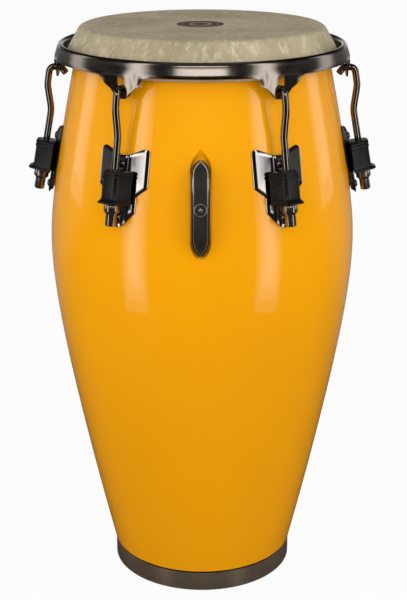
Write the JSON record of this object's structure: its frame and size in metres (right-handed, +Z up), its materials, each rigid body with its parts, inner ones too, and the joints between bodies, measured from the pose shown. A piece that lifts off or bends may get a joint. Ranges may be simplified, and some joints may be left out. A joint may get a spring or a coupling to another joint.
{
  "type": "conga drum",
  "caption": "Single-headed barrel hand drum with a lacquered shell, hide head, slotted tuning rim, hook lugs with cushioned nuts, a strap handle and a metal-banded foot.",
  "frame": {"origin": "middle of the floor ring, on the floor plane, on the drum's turning axis", "axes": "+Z up along the drum's axis to the playing head; -Y towards the carrying handle; +X to a tuning lug"},
  "size_m": [0.4634, 0.418, 0.762],
  "materials": {
    "shell_lacquer": "high-gloss yellow lacquer over moulded fibreglass",
    "head_skin": "matt synthetic hide, mottled grey-tan",
    "black_nickel": "polished black nickel plating",
    "side_plate_metal": "polished black nickel plating",
    "lug_metal": "polished black nickel plating",
    "screw_metal": "polished black nickel plating",
    "cushion_rubber": "satin black moulded rubber",
    "foot_band_metal": "satin bronze-brown plating",
    "base_rubber": "matt black rubber",
    "hidden_steel": "zinc plated"
  },
  "bodies": {
    "drum": {"shell": "shell_lacquer", "drum_head": "head_skin", "flesh_hoop": "hidden_steel", "foot_band": "foot_band_metal", "base_ring": "base_rubber", "handle": "black_nickel", "handle_bolt_upper": "hidden_steel", "handle_bolt_lower": "hidden_steel", "side_plate_1": "side_plate_metal", "lug_cushion_1": "cushion_rubber", "lug_bushing_1": "hidden_steel", "nut_plate_1": "hidden_steel", "upper_screw_1": "screw_metal", "lower_screw_1": "screw_metal", "side_plate_2": "side_plate_metal", "lug_cushion_2": "cushion_rubber", "lug_bushing_2": "hidden_steel", "nut_plate_2": "hidden_steel", "upper_screw_2": "screw_metal", "lower_screw_2": "screw_metal", "side_plate_3": "side_plate_metal", "lug_cushion_3": "cushion_rubber", "lug_bushing_3": "hidden_steel", "nut_plate_3": "hidden_steel", "upper_screw_3": "screw_metal", "lower_screw_3": "screw_metal", "side_plate_4": "side_plate_metal", "lug_cushion_4": "cushion_rubber", "lug_bushing_4": "hidden_steel", "nut_plate_4": "hidden_steel", "upper_screw_4": "screw_metal", "lower_screw_4": "screw_metal", "side_plate_5": "side_plate_metal", "lug_cushion_5": "cushion_rubber", "lug_bushing_5": "hidden_steel", "nut_plate_5": "hidden_steel", "upper_screw_5": "screw_metal", "lower_screw_5": "screw_metal", "side_plate_6": "side_plate_metal", "lug_cushion_6": "cushion_rubber", "lug_bushing_6": "hidden_steel", "nut_plate_6": "hidden_steel", "upper_screw_6": "screw_metal", "lower_screw_6": "screw_metal"},
    "rim": {"tuning_rim": "black_nickel"},
    "hook_1": {"lug_hook_1": "lug_metal"},
    "nut_1": {"tuning_nut_1": "lug_metal"},
    "hook_2": {"lug_hook_2": "lug_metal"},
    "nut_2": {"tuning_nut_2": "lug_metal"},
    "hook_3": {"lug_hook_3": "lug_metal"},
    "nut_3": {"tuning_nut_3": "lug_metal"},
    "hook_4": {"lug_hook_4": "lug_metal"},
    "nut_4": {"tuning_nut_4": "lug_metal"},
    "hook_5": {"lug_hook_5": "lug_metal"},
    "nut_5": {"tuning_nut_5": "lug_metal"},
    "hook_6": {"lug_hook_6": "lug_metal"},
    "nut_6": {"tuning_nut_6": "lug_metal"}
  },
  "joints": [
    {"name": "nut_1_turn", "type": "hinge", "parent": "drum", "child": "nut_1", "pos_m": [0.21075, 0, 0.591], "axis": [0.184, 0, -0.9829], "range_deg": [0, 2304.5]},
    {"name": "nut_2_turn", "type": "hinge", "parent": "drum", "child": "nut_2", "pos_m": [0.10537, 0.18251, 0.591], "axis": [0.092, 0.1593, -0.9829], "range_deg": [0, 2304.5]},
    {"name": "nut_3_turn", "type": "hinge", "parent": "drum", "child": "nut_3", "pos_m": [-0.10537, 0.18251, 0.591], "axis": [-0.092, 0.1593, -0.9829], "range_deg": [0, 2304.5]},
    {"name": "nut_4_turn", "type": "hinge", "parent": "drum", "child": "nut_4", "pos_m": [-0.21075, 0, 0.591], "axis": [-0.184, 0, -0.9829], "range_deg": [0, 2304.5]},
    {"name": "nut_5_turn", "type": "hinge", "parent": "drum", "child": "nut_5", "pos_m": [-0.10537, -0.18251, 0.591], "axis": [-0.092, -0.1593, -0.9829], "range_deg": [0, 2304.5]},
    {"name": "nut_6_turn", "type": "hinge", "parent": "drum", "child": "nut_6", "pos_m": [0.10537, -0.18251, 0.591], "axis": [0.092, -0.1593, -0.9829], "range_deg": [0, 2304.5]},
    {"name": "hook_1_slide", "type": "slide", "parent": "drum", "child": "hook_1", "axis": [-0.184, 0, 0.9829], "range_m": [0, 0.008]},
    {"name": "hook_2_slide", "type": "slide", "parent": "drum", "child": "hook_2", "axis": [-0.092, -0.1593, 0.9829], "range_m": [0, 0.008]},
    {"name": "hook_3_slide", "type": "slide", "parent": "drum", "child": "hook_3", "axis": [0.092, -0.1593, 0.9829], "range_m": [0, 0.008]},
    {"name": "hook_4_slide", "type": "slide", "parent": "drum", "child": "hook_4", "axis": [0.184, 0, 0.9829], "range_m": [0, 0.008]},
    {"name": "hook_5_slide", "type": "slide", "parent": "drum", "child": "hook_5", "axis": [0.092, 0.1593, 0.9829], "range_m": [0, 0.008]},
    {"name": "hook_6_slide", "type": "slide", "parent": "drum", "child": "hook_6", "axis": [-0.092, 0.1593, 0.9829], "range_m": [0, 0.008]},
    {"name": "rim_slide", "type": "slide", "parent": "drum", "child": "rim", "axis": [0, 0, 1], "range_m": [0, 0.00786]}
  ],
  "couplings": [
    {"joint": "hook_1_slide", "follows": "rim_slide", "ratio": 1.0174},
    {"joint": "nut_1_turn", "follows": "rim_slide", "rad_per_m": 5113.8},
    {"joint": "hook_2_slide", "follows": "rim_slide", "ratio": 1.0174},
    {"joint": "nut_2_turn", "follows": "rim_slide", "rad_per_m": 5113.8},
    {"joint": "hook_3_slide", "follows": "rim_slide", "ratio": 1.0174},
    {"joint": "nut_3_turn", "follows": "rim_slide", "rad_per_m": 5113.8},
    {"joint": "hook_4_slide", "follows": "rim_slide", "ratio": 1.0174},
    {"joint": "nut_4_turn", "follows": "rim_slide", "rad_per_m": 5113.8},
    {"joint": "hook_5_slide", "follows": "rim_slide", "ratio": 1.0174},
    {"joint": "nut_5_turn", "follows": "rim_slide", "rad_per_m": 5113.8},
    {"joint": "hook_6_slide", "follows": "rim_slide", "ratio": 1.0174},
    {"joint": "nut_6_turn", "follows": "rim_slide", "rad_per_m": 5113.8}
  ]
}
